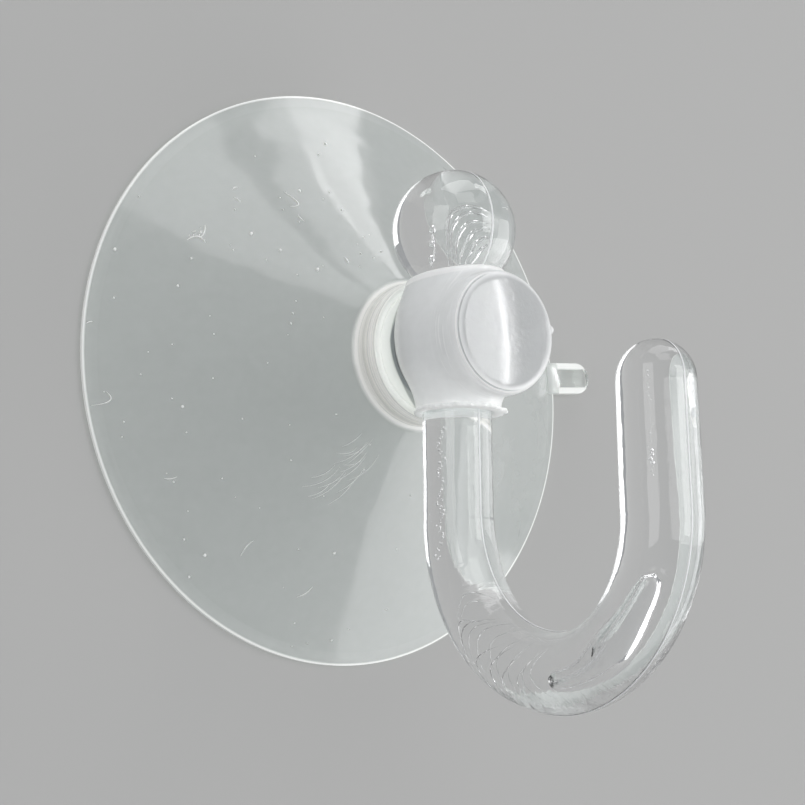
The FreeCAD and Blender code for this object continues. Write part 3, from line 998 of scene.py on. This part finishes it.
# %% Dust, fibres and scratches
# Each thread has its width and three places: its start, where it is drawn to, and its end.
FIBRES = [
    # a bent fibre, and a curl in two parts
    (0.050, (14.9, 120.0), (13.1, 117.3), (13.8, 122.4)),
    (0.055, (17.4, 151.0), (17.0, 147.5), (16.3, 149.5)),
    (0.050, (16.9, 145.0), (16.5, 147.5), (16.8, 149.0)),
    # crumbs
    (0.045, (17.1, 131.2), (17.2, 130.5), (17.0, 129.8)),
    (0.045, (16.6, 133.2), (16.4, 132.4), (16.1, 133.0)),
    (0.045, (13.0, 122.8), (12.8, 123.4), (12.4, 123.0)),
    (0.075, (8.8, 123.0), (8.6, 123.2), (8.3, 124.5)),
    # fibres on the rim, then low ones
    (0.040, (22.3, 175.5), (22.1, 175.0), (21.9, 175.0)),
    (0.035, (22.2, -168.8), (20.3, -168.4), (21.1, -171.0)),
    (0.030, (18.1, -124.5), (17.3, -125.5), (16.8, -124.8)),
    (0.030, (18.4, -106.0), (18.0, -104.0), (17.4, -103.5)),
    (0.030, (19.1, -150.2), (18.8, -149.2), (18.3, -149.2)),
]
SPECKS = 85
SPECKS_IN_A_HEAP = 9
SCRATCHES = 16
SCRATCH_WIDTH = 0.016


def on_cup(radius, angle, lift):
    """Points on the cup's outside, by distance from its axis and angle in degrees, lifted a little."""
    rows = outside_run(OUTSIDE_POINTS)[::-1]
    depth = np.interp(radius, rows[:, 0], rows[:, 1]) + lift
    turn = np.radians(angle)
    return np.stack([radius * np.cos(turn), -depth, radius * np.sin(turn)], -1)


def thread(start, middle, end, width, count=18):
    """A thin closed tube between two places on the cup, drawn towards a third."""
    t = np.linspace(0, 1, count)
    radius, angle = curve_through(start, middle, end, count).T
    return tube_skin(on_cup(radius, angle, width * 0.6), width * np.sin(0.25 + 2.64 * t), 6)


def dust_skins():
    """All the dust: the fibres of the list, then specks and scratches from a fixed random draw."""
    rng = np.random.default_rng(19)
    skins = [thread(*places, width) for width, *places in FIBRES]
    for k in range(SPECKS):
        high = rng.uniform() < 0.72
        radius = rng.uniform(7.5, 21.8)
        angle = rng.uniform(92, 200) if high else rng.uniform(200, 282)
        if k < SPECKS_IN_A_HEAP:
            radius, angle = 16.7 + 0.5 * rng.normal(), 148 + 1.4 * rng.normal()
        size = rng.uniform(0.035, 0.075) + 0.05 * (rng.uniform() < 0.2)
        stretch = rng.uniform(0.8, 2.2) * size / radius * 57
        skins.append(thread((radius, angle), (radius + size, angle + stretch / 2),
                            (radius + rng.uniform(-1, 1) * size, angle + stretch), size, 7))
    for k in range(SCRATCHES):
        radius, angle = rng.uniform(6.6, 11.0), rng.uniform(-126, -106)
        length, slant = rng.uniform(1.0, 2.6), rng.uniform(2.0, 7.0)
        skins.append(thread((radius, angle), (radius + length * 0.5, angle + slant * 0.2),
                            (radius + length, angle - slant), SCRATCH_WIDTH, 12))
    return skins


dust = make_piece("cup_dust", *join_skins(dust_skins()))


def dust_finish():
    """Matt, pale fluff in two tones."""
    finish = Finish("pale_dust")
    place = finish.place()[0]
    shade = finish.noise(place, 4.0, 2.0).fade(0.35, 0.65)
    tint = finish.mix_colour(shade, (0.88, 0.88, 0.87, 1), (0.96, 0.96, 0.95, 1))
    return finish.surface(finish.principled({"Base Color": tint}, Roughness=0.8))


dust.data.materials.append(dust_finish())
print("dust", len(dust.data.polygons), "faces")

# %% Pieces ride on their bodies
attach(hook, "hook_body")
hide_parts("hook")
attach(cup, "cup_body")
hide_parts("suction_cup")
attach(dust, "cup_body")
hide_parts("suction_cup")

# %% [markdown]
# A cup needs a wall. The stage is one plain pale wall just behind the lip. It is see-through from
# behind, so that a camera at the back still sees the cup's hollow. Both sizes are in metres.

# %% Stage
WALL_HALF = 0.45
WALL_GAP = 0.00008


def pale_wall():
    """Matt paint in front, and nothing at all seen from behind."""
    finish = Finish("pale_wall")
    paint = finish.node("ShaderNodeBsdfDiffuse", Color=(0.44, 0.438, 0.432, 1)).outputs[0]
    open_back = finish.node("ShaderNodeBsdfTransparent").outputs[0]
    side = finish.node("ShaderNodeNewGeometry").outputs["Backfacing"]
    return finish.surface(finish.mix(side, paint, open_back))


def wall(half, gap):
    """A square wall behind the plane y = 0 whose front faces the object."""
    mesh = bpy.data.meshes.new("wall")
    corners = [(-half, gap, -half), (half, gap, -half), (half, gap, half), (-half, gap, half)]
    mesh.from_pydata(corners, [], [(0, 1, 2, 3)])
    mesh.materials.append(pale_wall())
    stage = put_in_scene("wall", mesh)


wall(WALL_HALF, WALL_GAP)

# %% [markdown]
# The studio is a pale room with soft boxes. A box high on the right gives the cup its bright wedge,
# a tall strip gives the line down the head's face, and wide boxes on both sides light the edges. The
# low box lights the underside, and the clear plastic neither mirrors it nor shows it.

# %% Light
AIMED_AT = (0, -0.010, 0)
# Name, angle towards +X, angle upwards, distance, width, height and brightness of each box.
SOFT_BOXES = [
    ("wedge_box", 68, 57, 0.60, 0.13, 0.17, 3.3),
    ("face_strip", 37.2, 8, 0.60, 0.012, 0.34, 26.0),
    ("right_box", 69, -18, 0.60, 0.38, 0.85, 1.7),
    ("left_box", -62, 15, 0.60, 0.30, 0.50, 2.2),
    ("upper_box", -7, 53, 0.70, 0.35, 0.25, 1.5),
    ("front_box", 25.5, 10, 0.70, 0.21, 0.43, 3.0),
    ("top_box", 10, 80, 0.60, 0.45, 0.30, 1.8),
    ("low_box", 25, -48, 0.60, 0.30, 0.30, 3.0),
]
ROOM_TONE = (0.95, 0.97, 1.0, 1)
ROOM_STRENGTH = 0.34


def aim(thing, place, target):
    """Puts a lamp at a place and turns it to a target."""
    way = np.array(target) - np.array(place)
    back = -way / np.linalg.norm(way)
    right = np.cross([0, 0, 1], back)
    right /= np.linalg.norm(right)
    up = np.cross(back, right)
    matrix = np.eye(4)
    matrix[:3, 0], matrix[:3, 1], matrix[:3, 2], matrix[:3, 3] = right, up, back, place
    thing.matrix_world = Matrix(matrix.tolist())


def soft_box(name, azimuth, elevation, distance, width, height, radiance):
    """A rectangular lamp aimed at the cup: its power is its brightness times its area and pi."""
    lamp = bpy.data.lights.new(name, "AREA")
    lamp.shape = "RECTANGLE"
    lamp.size, lamp.size_y = width, height
    lamp.energy = radiance * width * height * math.pi
    thing = put_in_scene(name, lamp)
    a, e = math.radians(azimuth), math.radians(elevation)
    way = np.array([math.sin(a) * math.cos(e), -math.cos(a) * math.cos(e), math.sin(e)])
    target = np.array(AIMED_AT)
    aim(thing, target + way * distance, target)
    return thing


boxes_by_name = {box[0]: soft_box(*box) for box in SOFT_BOXES}
boxes_by_name["low_box"].visible_glossy = False
boxes_by_name["low_box"].visible_transmission = False
world = bpy.data.worlds.new("pale_room")
bpy.context.scene.world = world
world.use_nodes = True
room = world.node_tree.nodes["Background"]
room.inputs["Color"].default_value = ROOM_TONE
room.inputs["Strength"].default_value = ROOM_STRENGTH

# %% [markdown]
# The camera stands where the photographer's did, low on the left and looking a little up. Its
# three directions are written out, because it is also rolled by less than a degree. Its focal
# length and the width of its picture are both in pixels.

# %% Camera
RIGHT = np.array([0.80088, -0.59869, -0.01285])
DOWN = np.array([0.0942, 0.14715, -0.98462])
AHEAD = np.array([0.59137, 0.78735, 0.17424])
EYE_PLACE = (-0.11698, -0.16513, -0.03781)
LENS_PX = 2626.3
FRAME_PX = 805
camera = bpy.data.cameras.new("camera")
camera.sensor_width = 36
camera.lens = LENS_PX / FRAME_PX * camera.sensor_width
camera.clip_start, camera.clip_end = 0.01, 10
eye = put_in_scene("camera", camera)
stand = np.eye(4)
stand[:3, 0], stand[:3, 1], stand[:3, 2], stand[:3, 3] = RIGHT, -DOWN, -AHEAD, EYE_PLACE
eye.matrix_world = Matrix(stand.tolist())
bpy.context.scene.camera = eye
bpy.context.scene.view_settings.view_transform = "Standard"
